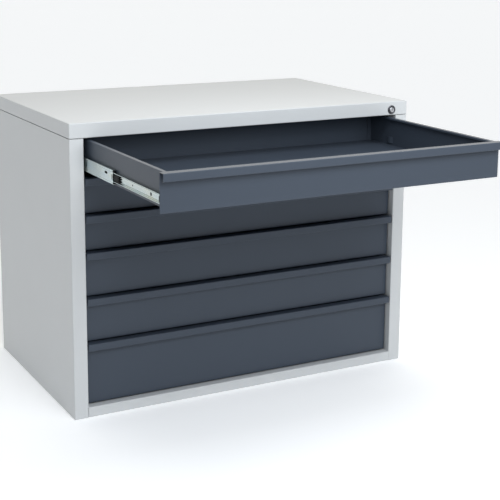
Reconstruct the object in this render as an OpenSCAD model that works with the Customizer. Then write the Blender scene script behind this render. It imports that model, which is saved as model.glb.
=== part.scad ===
// Steel drawer cabinet with six full-extension drawers on telescopic ball-bearing slides.
// Frame: X to the right, Y to the back, Z up. Origin: centre of the cabinet's footprint, on the floor.
// The top drawer stands partly open; the others are closed. All sizes are in millimetres.

/* [Cabinet] */
// Overall width
cabinet_w = 1050; // [800:5:1300]
// Overall depth, from the face of the front posts to the back
cabinet_d = 650; // [500:5:800]
// Overall height
cabinet_h = 800; // [640:5:1100]
// Sheet thickness of the cabinet
sheet_t = 1.5; // [1:0.1:2.5]
// Height of the lid's skirt
lid_h = 40; // [34:1:60]
// Depth of the return at the foot of the lid's skirt
lid_return = 10; // [6:1:11]
// Width of each front post
post_w = 39; // [30:1:60]
// Depth of each post's return, beside the opening
post_return = 40; // [34:1:60]
// Height of the bottom rail's face
rail_h = 28.5; // [20:0.5:60]
// Height of the hem behind the bottom rail's ledge
rail_hem = 10; // [4:1:18]
// Width of the rear flange of each side
rear_flange = 24; // [12:1:40]
// Width of a slide upright
upright_w = 40; // [30:1:60]
// Width of the stiffener under the lid
stiffener_w = 60; // [30:5:120]
// Depth of the stiffener under the lid
stiffener_h = 28; // [10:1:30]

/* [Drawers] */
// Height of a shallow drawer, in grid units
shallow_units = 4; // [3:1:6]
// Height of a middle drawer, in grid units
middle_units = 5; // [4:1:7]
// Height of the bottom drawer, in grid units
deep_units = 7; // [5:1:10]
// Gap between the lid and the top drawer
top_gap = 6.5; // [3:0.5:12]
// Gap between two drawer fronts
drawer_gap = 4; // [2:0.5:8]
// Gap between a drawer front and each post
side_gap = 3.5; // [2:0.5:6]
// Distance that the handle lip stands out, which sets the fronts back
lip_depth = 20; // [14:1:22]
// Height of the handle lip
lip_h = 20; // [14:1:30]
// Sheet thickness of the drawers
tray_t = 1.2; // [0.8:0.1:2]
// Width of the hems and flanges of a drawer
hem_w = 12; // [6:1:20]
// Depth of a downward fold at the edge of a hem
hem_fold = 6; // [3:1:10]
// Width of the flattened hems at the sides of a drawer front
front_hem = 15; // [8:1:30]
// Height of a tray's floor above the foot of its front
tray_lift = 12; // [8:1:16]
// Distance by which the top drawer is short of its full extension
top_drawer_left = 50; // [0:5:400]

/* [Slides] */
// Height of the outer rail
outer_h = 45.7; // [40:0.1:50]
// Overall thickness of a slide
slide_t = 12.7; // [12.5:0.1:14]
// Sheet thickness of the rails
rail_t = 1.2; // [0.8:0.1:1.4]
// Height of the slide's centre above the foot of the drawer front
slide_lift = 33.5; // [25:0.5:38]
// Space between the slides and the rear of the cabinet
back_space = 57; // [40:1:90]
// Part of a slide's length that stays engaged at full extension
slide_stay = 10; // [5:1:60]
// Distance between the front ends of the outer rail and the middle rail
middle_setback = 14; // [6:1:20]
// Distance between the rear ends of the outer rail and the middle rail
middle_rear = 6; // [4:1:20]
// Radius of the outer row's balls
outer_ball_r = 1.5; // [1:0.1:2]
// Radius of the inner row's balls
inner_ball_r = 2.4; // [1:0.1:2.8]
// Gap between a ball and each rail that it runs on
ball_fit = 0.3; // [0.2:0.05:0.5]
// Number of balls in one strip
balls = 4; // [2:1:8]
// Length of a ball strip lost to the stops
cage_loss = 40; // [30:1:80]
// Gap between neighbouring stages of a slide, across its thickness
stage_gap = 0.6; // [0.4:0.1:0.9]
// Gap between the front ends of the outer rails and the posts' returns
post_gap = 3; // [2:1:8]
// Distance that a tray reaches behind its slides
tray_overhang = 5; // [0:1:30]
// Radius of a slide screw's shank
screw_r = 2.5; // [2:0.1:3]
// Radius of a slide screw's head
screw_head_r = 4.5; // [3.5:0.1:5]
// Height of a slide screw's head
screw_head_h = 1.6; // [1:0.1:1.8]
// Length of a slide screw's shank behind the rail
screw_l = 6; // [4:0.5:10]
// Gap round a screw's shank in its holes
screw_fit = 0.2; // [0.1:0.05:0.5]
// Height of the slot near the front end of a middle rail
lever_slot_h = 5; // [3:0.5:8]
// Length of that slot
lever_slot_l = 14; // [8:1:20]
// Distance of that slot from the rail's front end
lever_slot_y = 46; // [30:1:60]
// Radius of the inner rail's access hole
access_r = 4.5; // [3:0.1:6]
// Distance of the access hole behind the drawer front
access_y = 62; // [14:1:90]
// Radius of the inner rail's fixing holes
fixing_r = 2.2; // [1.5:0.1:3]
// Spacing of the inner rail's fixing holes
fixing_step = 108; // [60:1:160]

/* [Lock] */
// Distance of the lock's centre from the right post's inner edge
lock_offset = 16; // [14:1:30]
// Height of the lock's centre above the foot of the lid
lock_lift = 16; // [15:0.5:19]
// Width of the rosette's rim round the barrel
rosette_rim = 3.5; // [2:0.5:5]
// Thickness of the rosette
rosette_t = 3; // [2:0.5:5]
// Radius of the lock's barrel
barrel_r = 9.5; // [8.5:0.5:10.5]
// Wall of the barrel round the turning plug
barrel_wall = 2.5; // [1.5:0.1:3.5]
// Gap round the turning plug
plug_fit = 0.05; // [0.02:0.01:0.1]
// Distance that the plug stands out of the rosette
plug_out = 0.6; // [0:0.1:2]
// Length of the barrel behind the lid's front
barrel_l = 24; // [20:1:30]
// Gap round the barrel in the lid and in its nut
barrel_fit = 0.15; // [0.05:0.05:0.5]
// Thickness of the barrel's nut
nut_t = 5; // [3:0.5:8]
// Wall of the nut at its flats
nut_wall = 2; // [1.5:0.5:3]
// Radius of the cam pin's circle
cam_r = 9; // [8:0.5:10]
// Radius of the cam pin
cam_pin_r = 2; // [1.5:0.1:2.5]
// Gap above and below the cam pin in the bar's slot
cam_pin_gap = 0.6; // [0.5:0.1:1]
// Thickness of the cam, the bar and its catches
bar_t = 2; // [1.5:0.1:3]
// Height of a catch on the bar
catch_h = 14; // [10:1:18]
// Height of the strike on each drawer
strike_h = 8; // [5:1:10]
// Length of a strike's foot on the tray
strike_foot = 14; // [8:1:24]
// Gap between a strike and the post
strike_play = 2; // [1:0.5:4]
// Gap between a catch and the tray beside it
catch_play = 4; // [2:0.5:6]
// Gap between the outer rail and the strike above it
strike_lift = 3; // [2:0.5:6]
// Gap between the strike and the unlocked catch above it
catch_gap = 2; // [1:0.5:4]
// Gap between moving parts of the lock
lock_gap = 1; // [0.6:0.1:1.5]
// Gap between the posts' returns and the front uprights, where the catches pass
catch_slot = 10; // [8:1:16]
// Gap between the locking bar and the post's return
bar_gap = 1.5; // [1:0.5:4]
// Gap between the drawer fronts and the catches
front_catch_gap = 2; // [1:0.5:4]
// Height of the foot of the bar above the floor
bar_foot = 60; // [40:5:120]

/* [Hidden] */

light_grey = "#c9cccd";
anthracite = "#3d444b";
zinc = "#b9c0c4";
steel = "#8f9498";
round_fn = 48;
eps = 1;
overlap = 0.1;

// Planes of the cabinet
side_x = cabinet_w / 2;
front_y = -cabinet_d / 2;
back_y = cabinet_d / 2;
lid_z = cabinet_h - lid_h;
opening_x = side_x - post_w;
post_back_y = front_y + post_return;

// Planes of the drawers, when closed
face_y = front_y + lip_depth;
front_back_y = face_y + 2 * tray_t;
front_x = opening_x - side_gap;
tray_x = opening_x - slide_t;

// The drawers share the opening in whole units of one grid
drawer_units = [shallow_units, shallow_units, shallow_units, middle_units, middle_units, deep_units];
drawers = len(drawer_units);
function sum_to(list, n) = n <= 0 ? 0 : list[n - 1] + sum_to(list, n - 1);
unit_h = (lid_z - top_gap - rail_h) / sum_to(drawer_units, drawers);
function top_z(i) = lid_z - top_gap - unit_h * sum_to(drawer_units, i - 1);
function foot_z(i) = top_z(i + 1) + drawer_gap;
function slide_z(i) = foot_z(i) + slide_lift;

// Slides
slide_front_y = post_back_y + post_gap;
slide_back_y = back_y - back_space;
slide_l = slide_back_y - slide_front_y;
travel = slide_l - slide_stay;
top_drawer_open = travel - top_drawer_left;
tray_back_y = slide_back_y + tray_overhang;
front_upright_y = post_back_y + catch_slot;
rear_upright_y = slide_back_y - upright_w - post_gap;
middle_gap = rail_t + screw_head_h + stage_gap;
middle_h = outer_h - 2 * (rail_t + 2 * outer_ball_r + 2 * ball_fit);
inner_h = middle_h - 2 * (rail_t + 2 * inner_ball_r + 2 * ball_fit);
cage_l = slide_l - travel / 2 - cage_loss;
cage_y = slide_front_y + slide_l / 2;
cage_t = 1;
inner_rail_gap = 0.5;

// Share of the travel that each stage of a slide makes
middle_share = 0.5;
outer_cage_share = 0.25;
inner_cage_share = 0.75;
function opening_of(i) = i == 1 ? top_drawer_open : 0;

// Lock
lock_x = opening_x - lock_offset;
lock_z = lid_z + lock_lift;
rosette_r = barrel_r + rosette_rim;
plug_r = barrel_r - barrel_wall;
barrel_back_y = front_y + barrel_l;
cam_turn = 90;
cam_rest = cam_turn / 2;
bar_travel = 2 * cam_r * sin(cam_rest);
bar_x = opening_x + sheet_t + bar_gap;
tongue_y = barrel_back_y + bar_t + lock_gap + bar_t;
bar_front_y = front_y + sheet_t + lid_return + lock_gap;
guide_h = 12;
nut_sides = 6;
key_w = 1.6;
key_l = 12;
catch_y = max(front_back_y + front_catch_gap, post_back_y + lock_gap);
bar_back_y = catch_y + bar_t;
strike_y = bar_back_y + lock_gap;
function strike_z(i) = slide_z(i) + outer_h / 2 + strike_lift;
function catch_z(i) = strike_z(i) + strike_h + catch_gap;

// --- helpers -------------------------------------------------------------

// A box between two corners
module block(low, high) translate(low) cube(high - low);

// Extrudes an outline drawn in (x, z) from y0 to y1
module along_y(y0, y1) translate([0, y1, 0]) rotate([90, 0, 0]) linear_extrude(y1 - y0) children();

// Extrudes an outline drawn in (y, z) from x0 to x1
module along_x(x0, x1) translate([x0, 0, 0]) rotate([90, 0, 90]) linear_extrude(x1 - x0) children();

// Extrudes an outline drawn in (x, y) from z0 to z1
module along_z(z0, z1) translate([0, 0, z0]) linear_extrude(z1 - z0) children();

// A cylinder along Y, or a prism with fn sides
module rod_y(x, z, y0, y1, r, fn = round_fn)
    translate([x, y1, z]) rotate([90, 0, 0]) cylinder(h = y1 - y0, r = r, $fn = fn);

// A cylinder along X
module rod_x(x0, x1, y, z, r)
    translate([x0, y, z]) rotate([0, 90, 0]) cylinder(h = x1 - x0, r = r, $fn = round_fn);

function left_normal(a, b) = let (u = (b - a) / norm(b - a)) [-u[1], u[0]];

// The point that is a mitred distance t to the left of a path's point i
function mitre(path, i, t) =
    let (last = len(path) - 1,
         before = i > 0 ? left_normal(path[i - 1], path[i]) : left_normal(path[0], path[1]),
         after = i < last ? left_normal(path[i], path[i + 1]) : before)
    path[i] + t * (before + after) / (1 + before * after);

// A folded sheet: a strip of thickness t to the left of a path, or to its right where t is negative
module fold(path, t)
    polygon(concat(path, [for (i = [len(path) - 1 : -1 : 0]) mitre(path, i, t)]));

// Draws its children on the left and, mirrored, on the right
module both_sides() {
    children();
    mirror([1, 0, 0]) children();
}

// --- cabinet ---------------------------------------------------------------

module lid() {
    window_x = side_x - sheet_t - lid_return;
    window_y = back_y - sheet_t - lid_return;
    color(light_grey) difference() {
        block([-side_x, front_y, lid_z], [side_x, back_y, cabinet_h]);
        block([-side_x + sheet_t, front_y + sheet_t, lid_z + sheet_t],
              [side_x - sheet_t, back_y - sheet_t, cabinet_h - sheet_t]);
        block([-window_x, -window_y, lid_z - eps], [window_x, window_y, lid_z + sheet_t + eps]);
        rod_y(lock_x, lock_z, front_y - eps, front_y + sheet_t + eps, barrel_r + barrel_fit);
    }
}

module lid_stiffener() {
    top = cabinet_h - sheet_t;
    half = stiffener_w / 2;
    reach = side_x - sheet_t - lid_return - sheet_t;
    color(light_grey) along_x(-reach, reach)
        fold([[-half, top], [-half, top - stiffener_h], [half, top - stiffener_h], [half, top]], sheet_t);
}

// Side wall, front post and rear flange, folded from one sheet
module side_panel() {
    color(light_grey) along_z(0, lid_z)
        fold([[opening_x, post_back_y], [opening_x, front_y], [side_x, front_y],
              [side_x, back_y], [side_x - rear_flange, back_y]], sheet_t);
}

module left_side() mirror([1, 0, 0]) side_panel();
module right_side() side_panel();

module back_panel() {
    half = side_x - sheet_t;
    color(light_grey)
        block([-half, back_y - 2 * sheet_t, sheet_t], [half, back_y - sheet_t, lid_z]);
}

// Floor sheet with the bottom rail folded up at its front edge
module base_pan() {
    ledge_y = post_back_y - sheet_t;
    color(light_grey) {
        union() {
            along_x(-opening_x, opening_x)
                fold([[post_back_y, 0], [front_y, 0], [front_y, rail_h], [ledge_y, rail_h],
                      [ledge_y, rail_h - rail_hem]], -sheet_t);
            block([-side_x + sheet_t, post_back_y, 0], [side_x - sheet_t, back_y - sheet_t, sheet_t]);
        }
    }
}

// Hole for a slide screw, from x0 to x1, in the middle of the upright at y
module screw_hole(x0, x1, y, i)
    rod_x(x0 - eps, x1 + eps, y + upright_w / 2, slide_z(i), screw_r + screw_fit);

// Channel on the inside of a side wall, which carries the slides' outer rails
module upright(y) {
    inner_x = side_x - sheet_t;
    color(light_grey) difference() {
        along_z(sheet_t, lid_z - sheet_t)
            fold([[inner_x, y], [opening_x, y],
                  [opening_x, y + upright_w], [inner_x, y + upright_w]], -sheet_t);
        for (i = [1 : drawers])
            screw_hole(opening_x, opening_x + sheet_t, y, i);
    }
}

module left_front_upright() mirror([1, 0, 0]) upright(front_upright_y);
module right_front_upright() upright(front_upright_y);
module left_rear_upright() mirror([1, 0, 0]) upright(rear_upright_y);
module right_rear_upright() upright(rear_upright_y);

module slide_screw() {
    seat_x = opening_x - rail_t;
    union() {
        rod_x(seat_x - screw_head_h, seat_x, 0, 0, screw_head_r);
        rod_x(seat_x - overlap, opening_x + screw_l, 0, 0, screw_r);
    }
}

module slide_screws() {
    color(steel) both_sides()
        for (i = [1 : drawers])
            for (y = [front_upright_y, rear_upright_y])
                translate([0, y + upright_w / 2, slide_z(i)]) slide_screw();
}

// --- drawers ---------------------------------------------------------------

// Moves a drawer's piece to its place, by a share of what the drawer is open
module at_opening(i, share) translate([0, -opening_of(i) * share, 0]) children();

module tray(i) {
    top = top_z(i);
    floor_z = foot_z(i) + tray_lift;
    hem_x = tray_x - hem_w;
    color(anthracite) at_opening(i, 1) union() {
        along_y(front_back_y, tray_back_y)
            fold([[-hem_x, top - hem_fold], [-hem_x, top], [-tray_x, top], [-tray_x, floor_z],
                  [tray_x, floor_z], [tray_x, top], [hem_x, top], [hem_x, top - hem_fold]], tray_t);
        block([-tray_x, front_back_y, floor_z], [tray_x, front_back_y + tray_t, top]);
        block([-tray_x, tray_back_y - tray_t, floor_z], [tray_x, tray_back_y, top]);
        block([-tray_x, tray_back_y - hem_w, top - tray_t], [tray_x, tray_back_y, top]);
    }
}

// Front of one sheet with flattened hems behind its edges and a full-width handle lip on top
module front(i) {
    top = top_z(i);
    foot = foot_z(i);
    color(anthracite) at_opening(i, 1) union() {
        along_x(-front_x, front_x)
            fold([[front_y + hem_fold, top - lip_h], [front_y, top - lip_h], [front_y, top],
                  [front_back_y, top], [front_back_y, top - hem_w]], -tray_t);
        block([-front_x, face_y, foot], [front_x, face_y + tray_t, top]);
        block([-front_x, face_y, foot], [front_x, front_back_y, foot + hem_w]);
        both_sides() block([front_x - front_hem, face_y, foot], [front_x, front_back_y, top]);
    }
}

// Outline of one rail: a channel of height h, its web at x0 and its legs' ends at x1
module channel(x0, x1, h) {
    side = x1 > x0 ? 1 : -1;
    fold([[x1, -h / 2], [x0, -h / 2], [x0, h / 2], [x1, h / 2]], -side * rail_t);
}

module outer_rail(i) {
    legs_x = tray_x + rail_t + stage_gap / 2;
    difference() {
        translate([0, 0, slide_z(i)])
            along_y(slide_front_y, slide_back_y) channel(opening_x, legs_x, outer_h);
        for (y = [front_upright_y, rear_upright_y])
            screw_hole(opening_x - rail_t, opening_x, y, i);
    }
}

module middle_rail(i) {
    web_x = opening_x - middle_gap;
    legs_x = tray_x + rail_t + stage_gap / 4;
    start_y = slide_front_y + middle_setback;
    slot_y = start_y + lever_slot_y;
    slot_z = slide_z(i) + lever_slot_h;
    reach = (lever_slot_l - lever_slot_h) / 2;
    difference() {
        translate([0, 0, slide_z(i)])
            along_y(start_y, slide_back_y - middle_rear) channel(web_x, legs_x, middle_h);
        block([web_x - rail_t - eps, slot_y - reach, slot_z - lever_slot_h / 2],
              [web_x + eps, slot_y + reach, slot_z + lever_slot_h / 2]);
        for (side = [-1, 1])
            rod_x(web_x - rail_t - eps, web_x + eps, slot_y + side * reach, slot_z, lever_slot_h / 2);
    }
}

module inner_rail(i) {
    legs_x = opening_x - middle_gap - rail_t - stage_gap;
    start_y = front_back_y + inner_rail_gap;
    holes = floor((slide_l - 2 * access_y) / fixing_step);
    difference() {
        translate([0, 0, slide_z(i)])
            along_y(start_y, start_y + slide_l) channel(tray_x, legs_x, inner_h);
        for (k = [0 : holes])
            rod_x(tray_x - eps, tray_x + rail_t + eps, start_y + access_y + k * fixing_step, slide_z(i),
                  k == 0 ? access_r : fixing_r);
    }
}

// Bracket on the tray's right side, above the rail, which the locking bar's catch holds
module strike(i)
    along_z(strike_z(i), strike_z(i) + strike_h)
        fold([[tray_x, strike_y + strike_foot], [tray_x, strike_y], [opening_x - strike_play, strike_y]],
             bar_t);

// A flat ball strip with its balls, at height z, between x0 and x1
module ball_strip(x0, x1, z, r) {
    step = cage_l / balls;
    middle = (balls - 1) / 2;
    union() {
        block([x0, cage_y - cage_l / 2, z - cage_t / 2], [x1, cage_y + cage_l / 2, z + cage_t / 2]);
        for (k = [0 : balls - 1])
            translate([(x0 + x1) / 2, cage_y + (k - middle) * step, z]) sphere(r = r, $fn = round_fn);
    }
}

module outer_cage(i) {
    z = (outer_h / 2 - rail_t + middle_h / 2) / 2;
    x0 = tray_x + rail_t + 3 * stage_gap;
    x1 = opening_x - rail_t - 2 * stage_gap;
    for (side = [-1, 1])
        translate([0, 0, slide_z(i)]) ball_strip(x0, x1, side * z, outer_ball_r);
}

module inner_cage(i) {
    z = (middle_h / 2 - rail_t + inner_h / 2) / 2;
    x0 = tray_x + rail_t + stage_gap;
    x1 = opening_x - middle_gap - rail_t - stage_gap;
    for (side = [-1, 1])
        translate([0, 0, slide_z(i)]) ball_strip(x0, x1, side * z, inner_ball_r);
}

module outer_rails(i) color(zinc) both_sides() outer_rail(i);
module middle_rails(i) color(zinc) at_opening(i, middle_share) both_sides() middle_rail(i);

// The inner rails, and the strike that is fixed on the tray above the right one
module inner_rails(i)
    color(zinc) at_opening(i, 1) {
        both_sides() inner_rail(i);
        strike(i);
    }

module outer_cages(i) color(steel) at_opening(i, outer_cage_share) both_sides() outer_cage(i);
module inner_cages(i) color(steel) at_opening(i, inner_cage_share) both_sides() inner_cage(i);

// --- lock --------------------------------------------------------------------

module lock_housing() {
    color(steel) difference() {
        union() {
            rod_y(lock_x, lock_z, front_y - rosette_t, front_y, rosette_r);
            rod_y(lock_x, lock_z, front_y - overlap, barrel_back_y, barrel_r);
        }
        rod_y(lock_x, lock_z, front_y - rosette_t - eps, barrel_back_y + eps, plug_r + plug_fit);
    }
}

module lock_nut() {
    start_y = front_y + sheet_t;
    color(steel) difference() {
        rod_y(lock_x, lock_z, start_y, start_y + nut_t, (barrel_r + nut_wall) / cos(180 / nut_sides), nut_sides);
        rod_y(lock_x, lock_z, start_y - eps, start_y + nut_t + eps, barrel_r + barrel_fit);
    }
}

module lock_plug() {
    face = front_y - rosette_t - plug_out;
    color(zinc) difference() {
        rod_y(lock_x, lock_z, face, barrel_back_y + lock_gap / 2, plug_r);
        block([lock_x - key_w / 2, face - eps, lock_z - plug_r / 2],
              [lock_x + key_w / 2, face + key_l, lock_z + plug_r / 2]);
    }
}

// Cam on the plug's rear end, with the pin that drives the bar
module lock_cam() {
    start_y = barrel_back_y + lock_gap / 2;
    arm_r = cam_pin_r + bar_t;
    color(zinc) translate([lock_x, 0, lock_z]) rotate([0, -cam_rest, 0]) union() {
        rod_y(0, 0, start_y, start_y + bar_t, plug_r);
        block([0, start_y, -arm_r], [cam_r, start_y + bar_t, arm_r]);
        rod_y(cam_r, 0, start_y, start_y + bar_t, arm_r);
        rod_y(cam_r, 0, start_y, tongue_y + lock_gap, cam_pin_r);
    }
}

// Locking bar in the right post, a flat strip with a slotted tongue for the cam
module lock_bar() {
    pin_z = lock_z + cam_r * sin(cam_rest);
    slot_h = cam_pin_r + cam_pin_gap;
    slot_x0 = lock_x + cam_r * cos(cam_rest) - cam_pin_r - cam_pin_gap;
    slot_x1 = lock_x + cam_r + cam_pin_r + cam_pin_gap;
    tongue_h = slot_h + 2 * bar_t;
    bar_top = pin_z + tongue_h;
    color(zinc) difference() {
        union() {
            block([bar_x, bar_front_y, bar_foot], [bar_x + bar_t, bar_back_y, bar_top]);
            block([slot_x0 - bar_t, tongue_y - bar_t, pin_z - tongue_h], [bar_x + bar_t, tongue_y, bar_top]);
        }
        block([slot_x0, tongue_y - bar_t - eps, pin_z - slot_h], [slot_x1, tongue_y + eps, pin_z + slot_h]);
    }
}

// Plates on the bar's rear edge, one for each drawer's strike
module lock_catches()
    color(zinc)
        for (i = [1 : drawers])
            block([tray_x + catch_play, catch_y, catch_z(i)], [bar_x, bar_back_y, catch_z(i) + catch_h]);

// Hooked brackets on the post's return that keep the bar on its line
module bar_guides() {
    wall_x = opening_x + sheet_t;
    outer_x = bar_x + bar_t + lock_gap;
    color(zinc)
        for (i = [1, 3, drawers])
            translate([0, 0, catch_z(i) - bar_travel - 2 * lock_gap - guide_h]) along_z(0, guide_h)
                fold([[wall_x, bar_front_y - lock_gap], [outer_x, bar_front_y - lock_gap],
                      [outer_x, bar_back_y + lock_gap], [bar_x, bar_back_y + lock_gap]], -sheet_t);
}

// --- assembly ------------------------------------------------------------------

lid();
lid_stiffener();
left_side();
right_side();
back_panel();
base_pan();
left_front_upright();
right_front_upright();
left_rear_upright();
right_rear_upright();
slide_screws();
lock_housing();
lock_nut();
lock_plug();
lock_cam();
lock_bar();
lock_catches();
bar_guides();
for (i = [1 : drawers]) {
    tray(i);
    front(i);
    inner_rails(i);
    middle_rails(i);
    outer_rails(i);
    inner_cages(i);
    outer_cages(i);
}
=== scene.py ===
"""Steel drawer cabinet: folded sheets, slides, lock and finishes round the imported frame."""
import logging
import math
from collections.abc import Iterable, Sequence
from dataclasses import dataclass
from enum import Enum
from functools import cache

import bmesh
import bpy
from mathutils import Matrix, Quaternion, Vector


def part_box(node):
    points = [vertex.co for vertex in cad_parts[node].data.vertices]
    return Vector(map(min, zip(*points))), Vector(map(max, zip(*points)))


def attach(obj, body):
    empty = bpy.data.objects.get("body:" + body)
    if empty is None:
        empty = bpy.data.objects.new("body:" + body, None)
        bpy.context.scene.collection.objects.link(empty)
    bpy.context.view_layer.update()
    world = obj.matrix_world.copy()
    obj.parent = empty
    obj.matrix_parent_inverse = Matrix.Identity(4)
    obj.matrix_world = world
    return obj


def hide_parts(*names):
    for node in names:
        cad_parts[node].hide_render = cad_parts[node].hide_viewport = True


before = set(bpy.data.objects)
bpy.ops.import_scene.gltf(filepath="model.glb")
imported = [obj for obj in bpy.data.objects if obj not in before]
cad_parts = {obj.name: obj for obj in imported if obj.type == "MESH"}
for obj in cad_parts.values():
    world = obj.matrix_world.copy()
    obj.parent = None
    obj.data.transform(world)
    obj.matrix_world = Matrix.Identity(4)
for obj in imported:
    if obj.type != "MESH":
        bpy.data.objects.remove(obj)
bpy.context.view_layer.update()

LOG = logging.getLogger("drawer_cabinet")
MM = 0.001
DRAWERS = 6
SHARP_ANGLE = 40.0  # the least angle of an edge that is broken, in degrees
WELD_REACH = 0.01  # how close doubled points are, in millimetres
SHARP_CORNER = 0.2  # the radius of a corner that is left sharp, in millimetres

Spot = tuple[float, float]
Point = tuple[float, float, float]
Sides = tuple[list[Spot], list[Spot]]
Colour = tuple[float, float, float]


# --- finishes ----------------------------------------------------------------


class Wire:
    """An output socket of a shader node that takes part in Python sums."""

    def __init__(self, nodes: "Nodes", socket: bpy.types.NodeSocket) -> None:
        """Holds a socket.

        Args:
            nodes: The node tree that the socket belongs to.
            socket: The output socket.
        """
        self.nodes = nodes
        self.socket = socket

    def _maths(self, operation: str, first: "Wire | float", second: "Wire | float") -> "Wire":
        """Adds a Math node.

        Args:
            operation: The node's operation.
            first: Its first value.
            second: Its second value.

        Returns:
            The node's result.
        """
        return self.nodes.node("ShaderNodeMath", {"operation": operation}, {0: first, 1: second})

    def __add__(self, other: "Wire | float") -> "Wire":
        """Self plus other."""
        return self._maths("ADD", self, other)

    def __radd__(self, other: float) -> "Wire":
        """Other plus self."""
        return self._maths("ADD", other, self)

    def __sub__(self, other: "Wire | float") -> "Wire":
        """Self minus other."""
        return self._maths("SUBTRACT", self, other)

    def __rsub__(self, other: float) -> "Wire":
        """Other minus self."""
        return self._maths("SUBTRACT", other, self)

    def __mul__(self, other: "Wire | float") -> "Wire":
        """Self times other."""
        return self._maths("MULTIPLY", self, other)

    def __rmul__(self, other: float) -> "Wire":
        """Other times self."""
        return self._maths("MULTIPLY", other, self)


class Nodes:
    """A node tree, and the one way to add a node to it."""

    def __init__(self, tree: bpy.types.NodeTree) -> None:
        """Holds a node tree.

        Args:
            tree: The tree.
        """
        self.tree = tree

    def node(
        self,
        kind: str,
        settings: dict[str, object],
        sockets: dict[int | str, object],
        output: int | str = 0,
    ) -> Wire:
        """Adds any node.

        Args:
            kind: The node's type.
            settings: Attributes of the node, set before its sockets.
            sockets: Values or wires for its inputs, by name or number.
            output: The output that is wanted, by name or number.

        Returns:
            That output.
        """
        made = self.tree.nodes.new(kind)
        for key, value in settings.items():
            setattr(made, key, value)
        for key, value in sockets.items():
            if isinstance(value, Wire):
                self.tree.links.new(value.socket, made.inputs[key])
            else:
                made.inputs[key].default_value = value
        return Wire(self, made.outputs[output])

    def tint(self, first: Colour, second: Colour, mask: Wire) -> Wire:
        """Mixes two colours.

        Args:
            first: The colour where the mask is 0.
            second: The colour where the mask is 1.
            mask: The mix.

        Returns:
            The mixed colour.
        """
        settings = {"data_type": "RGBA", "clamp_factor": True}
        sockets = {0: mask, 6: (*first, 1.0), 7: (*second, 1.0)}
        return self.node("ShaderNodeMix", settings, sockets, 2)

    def link(self, wire: Wire, target: bpy.types.NodeSocket) -> None:
        """Links a wire to an input of a node that was there from the start.

        Args:
            wire: The wire.
            target: The input.
        """
        self.tree.links.new(wire.socket, target)


class Shader(Nodes):
    """A material with a Principled shader, and the nodes that vary its surface."""

    octave_gain = 0.55

    def __init__(self, name: str, metallic: float, coat: float = 0.0) -> None:
        """Makes the material.

        Args:
            name: The material's name.
            metallic: 1 for bare metal, 0 for paint, plastic and rubber.
            coat: The strength of a clear top layer.
        """
        self.material = bpy.data.materials.new(name)
        self.material.use_nodes = True
        super().__init__(self.material.node_tree)
        self.surface = self.tree.nodes["Principled BSDF"]
        self.surface.inputs["Metallic"].default_value = metallic
        self.surface.inputs["Coat Weight"].default_value = coat
        self.place = self.node("ShaderNodeTexCoord", {}, {}, "Object")

    def noise(self, size_mm: float, detail: float = 2.0, stretch: Point = (1.0, 1.0, 1.0)) -> Wire:
        """A noise between 0 and 1.

        Args:
            size_mm: The size of its patches.
            detail: Its octaves.
            stretch: How many times longer the patches are along each axis.

        Returns:
            The noise's value.
        """
        place = self.place
        if stretch != (1.0, 1.0, 1.0):
            shrink = tuple(1 / s for s in stretch)
            settings = {"operation": "MULTIPLY"}
            place = self.node("ShaderNodeVectorMath", settings, {0: place, 1: shrink})
        scale = 1 / (size_mm * MM)
        sockets = {"Vector": place, "Scale": scale, "Detail": detail, "Roughness": self.octave_gain}
        return self.node("ShaderNodeTexNoise", {}, sockets)

    def relief(self, height: Wire, depth_mm: float, under: Wire | None = None) -> Wire:
        """Turns a height into a normal.

        Args:
            height: The height, from 0 to 1.
            depth_mm: What a height of 1 stands for.
            under: A normal that it builds on.

        Returns:
            The bumped normal.
        """
        sockets = {"Height": height, "Distance": depth_mm * MM, "Strength": 1.0}
        if under is not None:
            sockets["Normal"] = under
        return self.node("ShaderNodeBump", {}, sockets)

    def wear(self, sockets: dict[str, Wire]) -> bpy.types.Material:
        """Links what varies to the surface.

        Args:
            sockets: Wires for the Principled shader's inputs.

        Returns:
            The finished material.
        """
        for key, value in sockets.items():
            self.link(value, self.surface.inputs[key])
        return self.material


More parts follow.
